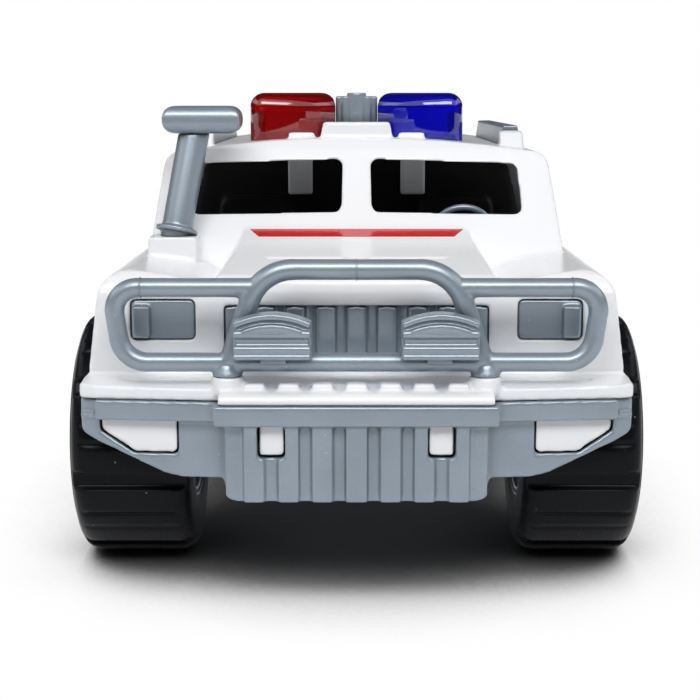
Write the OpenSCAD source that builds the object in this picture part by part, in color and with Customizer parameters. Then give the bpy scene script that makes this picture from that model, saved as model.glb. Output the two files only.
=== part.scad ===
// Toy ambulance on big off-road wheels. The front faces -Y, +Z is up, and it stands on Z = 0.

/* [Wheels] */
// Distance between the two axles
wheel_base = 224; // [218:1:228]
// How far the tyres stand out beyond the body sides
tyre_proud = 8.5; // [6:0.5:11]
// Tyre diameter
tyre_d = 102; // [96:1:104]
// Tyre width
tyre_w = 48; // [44:1:50]
// Radius of the barrel that the tyre sits on
rim_r = 27; // [22:1:32]
// Thickness of the tread band of the tyre
tread_t = 8; // [6:0.5:10]
// Depth of the wide grooves between the lugs
groove_depth = 3.6; // [2:0.2:4.4]
// Width of the wide grooves between the lugs
groove_w = 7; // [4:0.5:9]
// How far the tread is turned from its upright place
tread_turn = 10.5; // [0:0.5:18]
// Number of tread lugs
lug_count = 8; // [6:1:10]
// Diameter of the steel axles
axle_d = 5; // [4:0.2:6]
// Gap on the radius between hub and axle
hub_clear = 0.05; // [0.03:0.01:0.09]
// Gap between the tyre and the wheel arch
arch_gap = 5; // [4:0.5:7]

/* [Body] */
// Width over the fenders
body_w = 214; // [208:1:220]
// Wall thickness of the white body
wall = 2.4; // [1.8:0.1:3]
// Front axle to the front face of the bumper
front_overhang = 78; // [76:1:84]
// Rear axle to the rear face of the bumper
rear_overhang = 78; // [76:1:84]
// Height of the seam between body and chassis
seam_z = 77; // [74:1:80]
// Height of the front bumper ledge at the nose
ledge_z = 84; // [83:0.5:85]
// Height of the front bumper ledge at its front edge
ledge_front_z = 81.5; // [80.5:0.5:82]
// Depth of the front bumper ledge
ledge_depth = 32; // [30:1:36]
// Length of the hood
hood_l = 84; // [78:1:90]
// Width of the raised middle of the hood
hood_w = 102; // [96:1:108]
// Height of the hood at the windscreen
hood_z = 137; // [134:0.5:139]
// Height of the hood at its front lip
hood_lip_z = 121; // [120:0.5:123]
// Height where the fender side starts to round over
shoulder_z = 113; // [111:0.5:115]
// Radius of the fender shoulder
shoulder_r = 12; // [10:0.5:13]
// How far the body sides lean in up to the shoulder
lean_in = 3.6; // [2:0.2:5]
// How far the cab stands in from the body sides
cab_inset = 15; // [12:0.5:18]
// Height of the roof at its middle
roof_z = 174.5; // [170:0.5:180]
// Drop of the roof from its middle to its edges
camber = 5.6; // [3:0.2:7]
// Radius of the roof edges
roof_r = 8; // [6:0.5:10]
// How far the windscreen leans back
screen_run = 26; // [20:1:32]

/* [Openings in the body] */
// Width of the grille opening
grille_w = 105.5; // [100:0.5:108]
// Height of the top of the grille opening
grille_top_z = 111.5; // [109:0.5:112.5]
// Width of a headlamp opening
lamp_w = 26; // [22:1:28]
// Height of a headlamp opening
lamp_h = 16.3; // [14:0.1:17]
// Middle of a headlamp opening from the body side
lamp_in = 30; // [28:0.5:32]
// Height of the windscreen panes
pane_h = 24; // [20:0.5:26]
// Width of the pillar between the panes
pillar_w = 12.6; // [8:0.2:18]

/* [Chassis and bumper] */
// Thickness of the chassis walls
chassis_wall = 2.5; // [2:0.1:3]
// Height of the underside of the floor
floor_z = 58; // [56:0.5:60]
// Height of the lower edge of the skid plate
skid_z = 39; // [34:1:44]
// Width of the skid plate
skid_w = 104; // [98:1:108]
// Number of ribs on the skid plate
rib_count = 7; // [5:1:8]
// Distance between the ribs
rib_pitch = 13.1; // [11:0.1:14]
// Width of a rib
rib_w = 8; // [6:0.2:9]
// Width of a body clip
clip_w = 9.5; // [8:0.1:11]

/* [Bull bar] */
// Tube diameter of the bull bar
tube_d = 8; // [6:0.2:9]
// Height of the top tube
bar_top_z = 128; // [124:0.5:132]
// Height of the cross tube between the legs
bar_low_z = 92; // [91:0.5:94]
// Middle of a leg from the centre line
leg_x = 50; // [48:0.5:52]
// Middle of the outer tube of a side loop from the body side
loop_in = 12.5; // [10:0.5:16]
// Height of the top of the side loops
loop_z = 121; // [119:0.5:123]
// Width of a fog lamp
fog_w = 30; // [26:0.5:32]
// Height of a fog lamp
fog_h = 17.5; // [15:0.5:19]

/* [Roof equipment] */
// Width of one beacon lens
lens_w = 40.5; // [36:0.5:44]
// Depth of the light bar
lens_depth = 34; // [28:1:40]
// Height of the light bar above the roof
bar_h = 20.5; // [17:0.5:24]
// Wall thickness of the lenses
lens_wall = 1.6; // [1.2:0.1:2.2]
// Width of the siren between the lenses
siren_w = 21; // [18:0.5:24]
// Length of the roof rails
rail_l = 160; // [140:1:170]
// Width of a roof rail
rail_w = 8; // [6:0.5:9]
// Height of a roof rail
rail_h = 9; // [7:0.5:11]
// Diameter of the snorkel pipe
snorkel_d = 13.5; // [12:0.5:15]
// Length of the snorkel pipe
snorkel_l = 46; // [41:0.5:49]
// Lean of the snorkel pipe towards the roof
snorkel_lean = 10; // [6:0.5:12]
// Lean of the snorkel pipe towards the back
snorkel_back = 12; // [8:0.5:16]

/* [Inside] */
// Diameter of the steering wheel
steer_d = 30; // [26:1:32]
// Diameter of the pin under the steering wheel
steer_pin_d = 4; // [3:0.2:5]
// Width of a seat
seat_w = 36; // [30:1:40]
// Height of the seat backs above the cab floor
seat_h = 32; // [26:1:36]

/* [Hidden] */
$fn = 48;

// Small overlap that makes cuts run past a face
past = 1;
// Gap between fixed pieces that slide into each other
fit = 0.3;

// Main planes along the car
front_axle_y = -wheel_base / 2;
rear_axle_y = wheel_base / 2;
front_y = front_axle_y - front_overhang;
rear_y = rear_axle_y + rear_overhang;
nose_y = front_y + ledge_depth;
screen_y = nose_y + hood_l;
roof_front_y = screen_y + screen_run;
tail_y = rear_y - 14;

// Wheels
axle_z = tyre_d / 2;
arch_r = tyre_d / 2 + arch_gap;
half_w = body_w / 2;
tyre_out_x = half_w + tyre_proud;
tyre_in_x = tyre_out_x - tyre_w;
track = tyre_in_x + tyre_out_x;
lug_out_x = tyre_in_x - 8;
arch_in_x = tyre_in_x - 5;
web_x = tyre_out_x - 14;
nut_t = 1.5;
axle_end_x = web_x + 3;

// Body section
waist_z = ledge_z + 1;
shoulder_x = half_w - lean_in;
belt_z = shoulder_z + shoulder_r;
valley_z = hood_lip_z - 3;
crown_in_x = hood_w / 2 + 13;
valley_x = hood_w / 2 + 8;
cab_half = half_w - cab_inset;
lamp_x = half_w - lamp_in;
loop_x = half_w - loop_in;
cab_lean = 4;
pane_low_z = hood_z + 4;
side_window_h = pane_h + 4;

function arc(cx, cy, r, a0, a1, n) =
    [for (i = [0:n]) [cx + r * cos(a0 + (a1 - a0) * i / n), cy + r * sin(a0 + (a1 - a0) * i / n)]];
function both_sides(half) =
    concat(half, [for (i = [len(half) - 1:-1:0]) [-half[i][0], half[i][1]]]);
function unit(v) = v / norm(v);
function corner_arc(a, b, c, r, n) =
    let (u = unit(a - b), v = unit(c - b), half = acos(u * v) / 2,
        centre = b + unit(u + v) * r / sin(half),
        from = b + u * r / tan(half) - centre, to = b + v * r / tan(half) - centre,
        start = atan2(from[1], from[0]), turn = (atan2(to[1], to[0]) - start + 540) % 360 - 180)
    [for (i = [0:n]) centre + r * [cos(start + turn * i / n), sin(start + turn * i / n)]];
// An outline with each corner rounded by r
function rounded(points, r, n = 3) =
    [for (i = [0:len(points) - 1],
        p = corner_arc(points[(i + len(points) - 1) % len(points)], points[i],
            points[(i + 1) % len(points)], r, n)) p];
function block(x0, x1, z0, z1) = [[x0, z0], [x1, z0], [x1, z1], [x0, z1]];
function roof_at(x) = roof_z - camber * pow(x / (cab_half - cab_lean - roof_r), 2);
function screen_at(z) = screen_y + screen_run * (z - hood_z) / (roof_z - hood_z);

// Draws a shape given in X and Z, from y0 to y1.
module along_y(y0, y1) {
    translate([0, y1, 0]) rotate([90, 0, 0]) linear_extrude(y1 - y0) children();
}

// Draws a shape given in Y and Z, from x0 to x1.
module along_x(x0, x1) {
    translate([x0, 0, 0]) rotate([90, 0, 90]) linear_extrude(x1 - x0) children();
}

module mirrored() {
    children();
    mirror([1, 0, 0]) children();
}

module box(x0, x1, y0, y1, z0, z1) {
    translate([x0, y0, z0]) cube([x1 - x0, y1 - y0, z1 - z0]);
}

module wheel_arches(x1) {
    for (y = [front_axle_y, rear_axle_y])
        mirrored() translate([arch_in_x, y, axle_z]) rotate([0, 90, 0])
            cylinder(r = arch_r, h = x1 - arch_in_x);
}

// Body forms. Each is drawn w further in, so that the cavity follows the outside.
function seam_of(w) = w > 0 ? seam_z - past : seam_z;
function side_line(w) = concat(
    [[half_w - w, seam_of(w)], [half_w - w, waist_z]],
    arc(shoulder_x - shoulder_r, shoulder_z, shoulder_r - w, 0, 90, 5));

module side_form(w) {
    along_y(screen_y - past + w, tail_y - w) polygon(both_sides(side_line(w)));
}

module fender_form(w) {
    intersection() {
        along_y(nose_y - past, screen_y + 10)
            polygon(both_sides(concat(side_line(w), [
                [crown_in_x + shoulder_r, belt_z - 1.6 - w],
                [crown_in_x - w, belt_z - 4.5 - w],
                [valley_x - w, valley_z - w]])));
        along_x(-half_w, half_w)
            polygon(concat(
                [[screen_y + 10, seam_of(w)], [nose_y + w, seam_of(w)]],
                arc(nose_y + shoulder_r, belt_z - shoulder_r, shoulder_r - w, 180, 90, 5),
                [[screen_y + 10, belt_z - w]]));
    }
}

module hood_form(w) {
    intersection() {
        along_x(-hood_w, hood_w)
            polygon([
                [screen_y + 4, seam_of(w)], [nose_y + w, seam_of(w)], [nose_y + w, hood_lip_z - 7],
                [nose_y + 2 + w, hood_lip_z - w], [nose_y + 7, hood_lip_z + 2 - w],
                [nose_y + hood_l * 0.78, hood_z - 6 - w], [screen_y + 4, hood_z - w]]);
        along_y(nose_y - past, screen_y + 5)
            polygon(both_sides([
                [valley_x - w, seam_of(w)], [valley_x - w, valley_z - 1],
                [hood_w / 2 - w, hood_z - 6], [hood_w / 2 - 3 - w, hood_z + past]]));
    }
}

module cab_form(w) {
    edge_x = cab_half - cab_lean - roof_r;
    edge_z = roof_z - camber - roof_r;
    intersection() {
        along_y(screen_at(valley_z - 8) - past, tail_y)
            polygon(both_sides(concat(
                [[cab_half - w, valley_z - 8], [cab_half - w, belt_z]],
                arc(edge_x, edge_z, roof_r - w, 0, 72, 4),
                [for (x = [0.75, 0.5, 0.25]) [edge_x * x, roof_at(edge_x * x) - w]])));
        along_x(-cab_half, cab_half)
            polygon([
                [screen_at(valley_z - 8) + w, valley_z - 8], [screen_at(roof_z - 5) + w, roof_z - 5],
                [roof_front_y + 3, roof_z - w],
                [tail_y - 16, roof_z - w], [tail_y - 10 - w, roof_z - 5], [tail_y - 3 - w, belt_z],
                [tail_y - 3 - w, valley_z - 8]]);
    }
}

module body_form(w) {
    side_form(w);
    fender_form(w);
    hood_form(w);
    cab_form(w);
}

// Plan outline of the front bumper, drawn in by an inset.
bumper_half = half_w + 1.5;
centre_half = skid_w / 2 + 2.5;
side_step = 9;
side_sweep = 5;
corner_x = half_w - 5;
corner_sweep = 3;
function front_plan(inset, side_inset, back_y) = both_sides([
    [centre_half - inset, front_y + inset], [centre_half - inset, front_y + side_step + inset],
    [corner_x, front_y + side_step + side_sweep + inset],
    [bumper_half - side_inset, front_y + side_step + side_sweep + corner_sweep + inset],
    [bumper_half - side_inset, back_y]]);

module front_wall(inset, side_inset, thick, z0, z1) {
    translate([0, 0, z0]) linear_extrude(z1 - z0) difference() {
        polygon(front_plan(inset, side_inset, nose_y));
        polygon(front_plan(inset + thick, side_inset + thick, nose_y + past));
    }
}

// Shapes of the clips and pads that show through the chassis
clip_x = rib_pitch * 2.5;
clip_h = 12;
band_z = seam_z - 8;
pad_h = 13;
pad_in_x = centre_half + 0.3 * (half_w - centre_half);
pad_out_x = half_w - 7;
pad_cut_x = pad_in_x + 0.56 * (pad_out_x - pad_in_x);
panel_inset = 4;
tab_inset = panel_inset + 0.4;
tab_t = chassis_wall - 0.4;

module clip_shape(gap) {
    polygon(rounded(
        block(clip_x - clip_w / 2 - gap, clip_x + clip_w / 2 + gap, band_z - clip_h - gap, ledge_z), 1));
}

module pad_shape(gap) {
    polygon(rounded([
        [pad_in_x - gap, band_z - pad_h - gap], [pad_cut_x + gap / 2, band_z - pad_h - gap],
        [pad_out_x + gap, band_z - 4.5 - gap / 2], [pad_out_x + gap, ledge_z],
        [pad_in_x - gap, ledge_z]], 1.5));
}

module behind_bumper(inset, thick, z0, z1) {
    intersection() {
        front_wall(inset, 0, thick, z0, z1);
        children();
    }
}

// White bumper ledge with its nubs, sockets, clips and pads
ledge_inset = 1.6;
nub_y = front_y + 7;
socket_y = front_y + 14;
socket_d = 12.7;
socket_z = ledge_z + 2.5;

// Rounded front edge of the ledge, then a gentle rise to the nose
module ledge_profile(w) {
    r = ledge_front_z - seam_z - 1;
    along_x(-half_w - 5, half_w + 5)
        polygon(concat(
            [[nose_y + wall, seam_of(w)], [front_y, seam_of(w)]],
            arc(front_y + ledge_inset + w + r, ledge_front_z - w - r, r, 180, 100, 4),
            [[nose_y + wall, ledge_z - w]]));
}

module ledge_outside() {
    intersection() {
        translate([0, 0, seam_z]) linear_extrude(ledge_z - seam_z)
            polygon(front_plan(ledge_inset, 0, nose_y + wall / 2));
        ledge_profile(0);
    }
    for (i = [0:rib_count - 1])
        translate([(i - (rib_count - 1) / 2) * rib_pitch - rib_w / 2, nub_y, seam_z + wall])
            cube([rib_w, 7, ledge_front_z + 3 - seam_z - wall]);
    mirrored() translate([leg_x, socket_y, seam_z + wall])
        cylinder(d = socket_d, h = socket_z - seam_z - wall);
}

module ledge_cavity() {
    intersection() {
        translate([0, 0, seam_z - past]) linear_extrude(ledge_z - seam_z)
            polygon(front_plan(ledge_inset + wall, wall, nose_y));
        ledge_profile(wall);
    }
}

module body_tabs() {
    mirrored() {
        behind_bumper(tab_inset, tab_t, band_z - clip_h, ledge_front_z - wall / 2)
            along_y(front_y, nose_y) clip_shape(0);
        behind_bumper(tab_inset, tab_t, band_z - pad_h, ledge_front_z - wall / 2)
            along_y(front_y, nose_y) pad_shape(0);
    }
}

// Openings of the body
pane_out_low = cab_half - 17.5;
pane_out_top = cab_half - 19;
side_pane_y = [[roof_front_y - 2, roof_front_y + 52], [roof_front_y + 62, roof_front_y + 116]];
rear_pane_half = cab_half - 36;
pane_r = 3;

module windscreen_panes() {
    mirrored() along_y(screen_y - 5, roof_front_y + 6)
        polygon(rounded([
            [pillar_w / 2 + 0.8, pane_low_z + 1], [pane_out_low, pane_low_z],
            [pane_out_top, pane_low_z + pane_h - 2], [pillar_w / 2, pane_low_z + pane_h]], pane_r));
}

module side_panes() {
    low_z = belt_z + 10;
    for (y = side_pane_y)
        along_x(-half_w, half_w)
            polygon(rounded([
                [y[0] - (y == side_pane_y[0] ? 16 : 0), low_z], [y[1], low_z],
                [y[1], low_z + side_window_h], [y[0], low_z + side_window_h]], pane_r));
}

module rear_pane() {
    along_y(tail_y - 20, tail_y + past)
        polygon(rounded(both_sides([
            [rear_pane_half + 3, belt_z + 10], [rear_pane_half, belt_z + 10 + side_window_h]]), pane_r));
}

module lamp_shape(gap) {
    polygon(rounded(block(
        lamp_x - lamp_w / 2 + gap, lamp_x + lamp_w / 2 - gap,
        lamp_z - lamp_h / 2 + gap, lamp_z + lamp_h / 2 - gap), 2));
}

module nose_openings() {
    along_y(nose_y - past, nose_y + wall + past) {
        translate([-grille_w / 2, ledge_z + 1]) square([grille_w, grille_top_z - ledge_z - 1]);
        mirrored() lamp_shape(0);
    }
}

// Shallow door lines, hood vents and the slots at the back of the ledge
lamp_z = shoulder_z + 1 - lamp_h / 2;
line_w = 1.2;
line_depth = 0.8;
door_y = [roof_front_y - 16, roof_front_y + 57, roof_front_y + 121];

module surface_lines() {
    difference() {
        union() {
            for (y = door_y)
                box(-half_w, half_w, y, y + line_w, seam_z + 8, belt_z + 6);
            box(-half_w, half_w, door_y[0], door_y[2], seam_z + 8, seam_z + 8 + line_w);
            box(-line_w / 2, line_w / 2, tail_y - 3, tail_y + past, seam_z + 6, belt_z + 6);
            mirrored() box(5, hood_w / 2 - 13, nose_y + 34, nose_y + 37, hood_lip_z, hood_z);
        }
        body_form(line_depth);
    }
    mirrored() box(centre_half + 2, half_w - 14, nose_y - 8, nose_y - 2, ledge_z - 1.5, ledge_z + past);
}

// Fixed details of the body: snorkel seat, light bar seat, rail ends, tail lamps, door handles
light_y = roof_front_y + 22;
rail_y = roof_front_y + 28;
rail_x = cab_half - 19;
snorkel_x = -cab_half + 12.5;
snorkel_z = belt_z + 8;
snorkel_y = screen_at(snorkel_z) - snorkel_d / 2 - 3.5;

module body_details() {
    box(snorkel_x - 11, snorkel_x + 10, snorkel_y - 10, snorkel_y + 8, shoulder_z, snorkel_z);
    along_y(light_y - 14, light_y - fit)
        polygon(both_sides([[17.5, roof_z - 3], [15.5, roof_z + 7]]));
    mirrored() {
        box(20, 32, light_y - 4, light_y - fit, roof_z - 3, roof_z + 2);
        along_x(rail_x - 5, rail_x + 6)
            polygon([
                [rail_y - 14, roof_z - camber - 2], [rail_y - fit, roof_z - camber - 2],
                [rail_y - fit, roof_z + 3], [rail_y - 6, roof_z + 2]]);
        box(half_w - 25, half_w - 9, tail_y - past, tail_y + 2, shoulder_z - 20, shoulder_z);
        for (y = [side_pane_y[0][1] - 16, side_pane_y[1][1] - 16])
            box(half_w - 12, shoulder_x + 2.2, y, y + 14, shoulder_z - 8, shoulder_z - 4);
    }
}

module roof_posts() {
    mirrored() box(21, 33, light_y + 8, light_y + 10.4, roof_z - 28, roof_z - wall - 0.4);
}

module body_shell() {
    color("white") {
        difference() {
            union() {
                body_form(0);
                ledge_outside();
                body_details();
            }
            body_form(wall);
            ledge_cavity();
            windscreen_panes();
            side_panes();
            rear_pane();
            nose_openings();
            surface_lines();
            wheel_arches(half_w + 5);
            mirrored() translate([leg_x, socket_y, seam_z]) cylinder(d = tube_d - 1 + 2 * fit, h = 20);
        }
        body_tabs();
        roof_posts();
    }
}

// Chassis
rocker_y = wheel_base / 2 - arch_r + 14;
stand_w = 80;
stand_l = 90;
stand_t = 1.2;
lug_w = 18;
lug_l = 18;
rear_half = half_w + 1.5;
rear_rib = 1.5;
function rear_plan(inset, back_y) = both_sides([
    [rear_half - inset, back_y], [rear_half - inset, rear_y - 12],
    [rear_half - 14 - inset / 2, rear_y - rear_rib - inset]]);

module skid_silhouette() {
    corner = 6;
    polygon(both_sides(concat(
        [[skid_w / 2 + 3, band_z + 2]],
        [[skid_w / 2, band_z - 2]],
        arc(skid_w / 2 - corner, skid_z + corner, corner, 0, -90, 4))));
}

module corner_silhouette() {
    polygon(concat(
        [[skid_w / 2 - 4, band_z + 2], [skid_w / 2 - 4, skid_z + 7]],
        corner_arc(
            [skid_w / 2, skid_z + 7], [skid_w / 2 + 20, skid_z + 7], [bumper_half, band_z - 6], 30, 4),
        corner_arc([skid_w / 2 + 20, skid_z + 7], [bumper_half, band_z - 6], [bumper_half, seam_z], 4, 3),
        [[bumper_half, seam_z], [corner_x - 2, seam_z], [corner_x - 2, band_z + 2]]));
}

// The bands stand proud of the skid plate and of the corner panels
module bumper_band() {
    intersection() {
        front_wall(0, 0, panel_inset - 1, band_z, seam_z);
        box(-corner_x, corner_x, front_y, nose_y, band_z, seam_z);
    }
}

module front_apron() {
    bumper_band();
    difference() {
        union() {
            front_wall(panel_inset - 2, 0, chassis_wall + 2, band_z, band_z + 2);
            behind_bumper(panel_inset, chassis_wall, skid_z, seam_z) along_y(front_y, nose_y) {
                skid_silhouette();
                mirrored() corner_silhouette();
            }
            for (i = [0:rib_count - 1])
                behind_bumper(panel_inset - 2, 3, skid_z, band_z + past)
                    along_y(front_y, nose_y)
                        translate([(i - (rib_count - 1) / 2) * rib_pitch - rib_w / 2, skid_z])
                            square([rib_w, band_z - skid_z + 1]);
        }
        mirrored() along_y(front_y + panel_inset - 1, nose_y) {
            clip_shape(fit * 2);
            pad_shape(fit * 2);
        }
        mirrored() along_y(front_y, front_y + panel_inset + past) intersection() {
            clip_shape(fit * 2);
            translate([0, skid_z]) square([half_w, band_z - skid_z]);
        }
    }
}

module skid_underside() {
    back_y = front_axle_y - lug_l;
    y0 = front_y + panel_inset + 0.5;
    along_x(-skid_w / 2 + 6, skid_w / 2 - 6)
        polygon([
            [y0, skid_z], [y0 + 4, skid_z], [back_y, floor_z], [back_y, floor_z + chassis_wall],
            [y0, skid_z + 4]]);
}

module rear_apron() {
    translate([0, 0, skid_z + 10]) linear_extrude(seam_z - skid_z - 10) difference() {
        polygon(rear_plan(0, rear_axle_y + arch_r - 12));
        polygon(rear_plan(chassis_wall, rear_axle_y));
    }
    translate([0, 0, seam_z - chassis_wall]) linear_extrude(chassis_wall) difference() {
        polygon(rear_plan(0, tail_y - 8));
        translate([-half_w, 0]) square([body_w, tail_y - 7]);
    }
    for (i = [0:rib_count - 1])
        translate([
            (i - (rib_count - 1) / 2) * rib_pitch - rib_w / 2, rear_y - rear_rib - past, skid_z + 10])
            cube([rib_w, rear_rib + past, seam_z - skid_z - 18]);
}

module floor_pan() {
    front_in_y = front_y + panel_inset + chassis_wall + 1;
    box(-skid_w / 2 + 6, skid_w / 2 - 6, front_in_y, 0, floor_z, floor_z + chassis_wall);
    box(-lug_out_x, lug_out_x, front_in_y + side_step, rear_y - rear_rib - 1,
        floor_z, floor_z + chassis_wall);
    box(-stand_w / 2, stand_w / 2, -stand_l / 2, stand_l / 2, floor_z - stand_t, floor_z + past);
    box(-half_w, half_w, -rocker_y, rocker_y, floor_z, floor_z + chassis_wall);
    mirrored() box(half_w - chassis_wall, half_w, -rocker_y - 20, rocker_y + 20, floor_z, seam_z);
    for (y = [front_axle_y, rear_axle_y])
        mirrored()
            box(lug_out_x - lug_w, lug_out_x, y - lug_l / 2, y + lug_l / 2, axle_z - 7, floor_z + past);
}

module chassis() {
    color("slategray") difference() {
        union() {
            front_apron();
            skid_underside();
            rear_apron();
            floor_pan();
        }
        wheel_arches(half_w + 5);
        for (y = [front_axle_y, rear_axle_y])
            translate([-half_w, y, axle_z]) rotate([0, 90, 0]) cylinder(d = axle_d, h = body_w);
    }
}

// Grey inserts behind the nose
insert_y = nose_y + wall;
insert_t = 2;
bar_count = 9;
bar_pitch = grille_w / (bar_count - 0.3);
bar_w = bar_pitch * 0.62;
indicator_w = 7;

module grille_panel() {
    color("slategray") {
        along_y(insert_y, insert_y + insert_t)
            translate([-grille_w / 2 - 1, ledge_z - 1])
                square([grille_w + 2, hood_lip_z - 7 - ledge_z + 1]);
        for (i = [0:bar_count - 1])
            along_y(nose_y + 0.4, insert_y + 0.5) translate([(i - (bar_count - 1) / 2) * bar_pitch, 0]) {
                translate([-bar_w / 2, ledge_z + 1 + fit])
                    square([bar_w, grille_top_z - ledge_z - 1 - bar_w / 2]);
                translate([0, grille_top_z - bar_w / 2 - fit]) circle(d = bar_w);
            }
    }
}

module headlamp() {
    color("slategray") {
        along_y(insert_y, insert_y + insert_t)
            polygon(block(
                lamp_x - lamp_w / 2 - 2, lamp_x + lamp_w / 2 + 2, lamp_z - lamp_h / 2 - 2, shoulder_z));
        along_y(nose_y + 1, insert_y + 0.5) lamp_shape(fit);
        along_y(nose_y - 2, nose_y + 2)
            polygon(rounded(block(
                lamp_x + lamp_w / 2 - indicator_w - 1, lamp_x + lamp_w / 2 - 1,
                lamp_z - lamp_h / 2 + 1, lamp_z + lamp_h / 2 - 2.5), 1));
    }
}

module headlamp_left() {
    headlamp();
}

module headlamp_right() {
    mirror([1, 0, 0]) headlamp();
}

// Decals
decal_t = 0.3;

module hood_decal() {
    color("red") intersection() {
        difference() {
            hood_form(-decal_t);
            hood_form(0);
        }
        translate([0, 0, hood_lip_z]) linear_extrude(hood_z)
            polygon(both_sides([[hood_w / 2 - 8, screen_y - 13], [hood_w / 2 - 3.5, screen_y - 4]]));
    }
}

module side_stripe() {
    color("red") intersection() {
        difference() {
            side_form(-decal_t);
            side_form(0);
        }
        box(0, half_w + 5, front_axle_y + arch_r - 8, rear_axle_y - arch_r + 8,
            shoulder_z - 22, shoulder_z - 12);
    }
}

module side_stripe_left() {
    side_stripe();
}

module side_stripe_right() {
    mirror([1, 0, 0]) side_stripe();
}

// Bull bar: a tube follows corner points given in X and Z, with a bend radius at each inner corner.
function bend_run(p, q, r, p_next) =
    let (u = unit(p - q), v = unit(p_next - q), half = acos(u * v) / 2) r / tan(half);

// A bend is a little thicker than the straight tubes that run into it, as its moulding seams show.
seam_step = 0.1;
seam_run = 0.8;

module straight_tube(p, q, d) {
    along = unit(q - p);
    start = p - along * seam_run;
    translate([start[0], start[1], 0]) rotate([0, 0, atan2(along[1], along[0])]) rotate([0, 90, 0])
        cylinder(d = d, h = norm(q - p) + 2 * seam_run);
}

module bent_tube(p, q, s, r, d) {
    u = unit(p - q);
    v = unit(s - q);
    half = acos(u * v) / 2;
    centre = q + unit(u + v) * r / sin(half);
    away = q - centre;
    sweep = 180 - 2 * half;
    translate([centre[0], centre[1], 0]) rotate([0, 0, atan2(away[1], away[0]) - sweep / 2])
        rotate_extrude(angle = sweep) translate([r, 0]) circle(d = d + 2 * seam_step);
}

module tube_path(points, radii, d) {
    last = len(points) - 1;
    cut = [for (i = [0:last]) i == 0 || i == last ? 0 :
        bend_run(points[i - 1], points[i], radii[i], points[i + 1])];
    for (i = [0:last - 1]) {
        along = unit(points[i + 1] - points[i]);
        straight_tube(points[i] + along * cut[i], points[i + 1] - along * cut[i + 1], d);
    }
    for (i = [1:last - 1]) bent_tube(points[i - 1], points[i], points[i + 1], radii[i], d);
}

bar_y = socket_y;
foot_z = socket_z;
arch_x = leg_x - 13;
leg_bend_z = bar_low_z + 1;
loop_low_x = loop_x - 4;
loop_d = tube_d - 0.5;
// Where the top tube of a side loop ends, on the middle of the leaning leg
loop_end_x = arch_x + (leg_x - 1 - arch_x) * (bar_top_z - loop_z) / (bar_top_z - leg_bend_z);

module bull_bar() {
    color("slategray") {
        translate([0, bar_y, 0]) rotate([90, 0, 0]) {
            tube_path([
                [leg_x, foot_z + 2], [leg_x - 1, leg_bend_z], [arch_x, bar_top_z],
                [-arch_x, bar_top_z], [-leg_x + 1, leg_bend_z], [-leg_x, foot_z + 2]],
                [0, 15, 18, 18, 15, 0], tube_d);
            tube_path([
                [loop_end_x, loop_z], [loop_x, loop_z], [loop_low_x, bar_low_z],
                [-loop_low_x, bar_low_z], [-loop_x, loop_z], [-loop_end_x, loop_z]],
                [0, 9, 11, 11, 9, 0], loop_d);
        }
        mirrored() translate([leg_x, bar_y, foot_z]) {
            cylinder(d1 = socket_d - 0.6, d2 = tube_d + 1, h = 4);
            translate([0, 0, seam_z + wall - foot_z])
                cylinder(d = tube_d - 1, h = foot_z - seam_z - wall + past);
        }
    }
}

fog_x = leg_x - 18;
fog_z = bar_low_z + 3;
fog_y = bar_y - tube_d / 2 - fit;
fog_t = 7.5;

module fog_shape(inset) {
    rise = fog_h * 0.2;
    r = (fog_w * fog_w / 4 + rise * rise) / (2 * rise);
    intersection() {
        translate([-fog_w / 2 + inset, inset]) square([fog_w - 2 * inset, fog_h]);
        translate([0, fog_h - r - inset]) circle(r = r, $fn = 180);
    }
}

module fog_lamp() {
    color("slategray") difference() {
        union() {
            along_y(fog_y - fog_t + 2, fog_y) translate([fog_x, fog_z]) fog_shape(0);
            along_y(fog_y - fog_t, fog_y - fog_t + 3) translate([fog_x, fog_z]) fog_shape(1.2);
            along_y(fog_y - past, bar_y + tube_d / 2)
                translate([fog_x - 5, bar_low_z]) square([10, tube_d / 2 + 4]);
        }
        translate([0, bar_y, bar_low_z]) rotate([0, 90, 0]) cylinder(d = loop_d + 0.1, h = leg_x);
        for (z = [0.24, 0.5])
            box(fog_x - fog_w, fog_x + fog_w, fog_y - fog_t - past, fog_y - fog_t + 1.6,
                fog_z + fog_h * z, fog_z + fog_h * z + 1.6);
    }
}

module fog_lamp_left() {
    fog_lamp();
}

module fog_lamp_right() {
    mirror([1, 0, 0]) fog_lamp();
}

// Snorkel, leaning from its seat on the fender
head_w = 34;
head_shift = 4;
head_d = 22;
head_h = 12;
head_r = 5;
head_z = snorkel_z + snorkel_l * cos(snorkel_lean) * cos(snorkel_back);
head_x = snorkel_x + snorkel_l * sin(snorkel_lean) * cos(snorkel_back) + head_shift;
head_y = snorkel_y + snorkel_l * sin(snorkel_back);

module snorkel_frame() {
    translate([snorkel_x, snorkel_y, snorkel_z]) rotate([-snorkel_back, snorkel_lean, 0]) children();
}

module snorkel_pipe() {
    color("slategray") difference() {
        snorkel_frame() {
            translate([0, 0, -8]) cylinder(d = snorkel_d, h = snorkel_l + 16);
            translate([0, 0, 1.5]) cylinder(d = snorkel_d + 5, h = 2);
        }
        box(snorkel_x - 30, snorkel_x + 30, snorkel_y - 30, snorkel_y + 30, snorkel_z - 20, snorkel_z);
        box(head_x - 30, head_x + 30, head_y - 30, head_y + 30, head_z, head_z + 20);
    }
}

module snorkel_head() {
    color("slategray") translate([head_x, head_y, head_z]) intersection() {
        along_y(-head_d, head_d) polygon(rounded(block(-head_w / 2, head_w / 2, 0, head_h), head_r, 6));
        along_x(-head_w, head_w) polygon(rounded(block(-head_d / 2, head_d / 2, 0, head_h), head_r, 6));
    }
}

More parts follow.
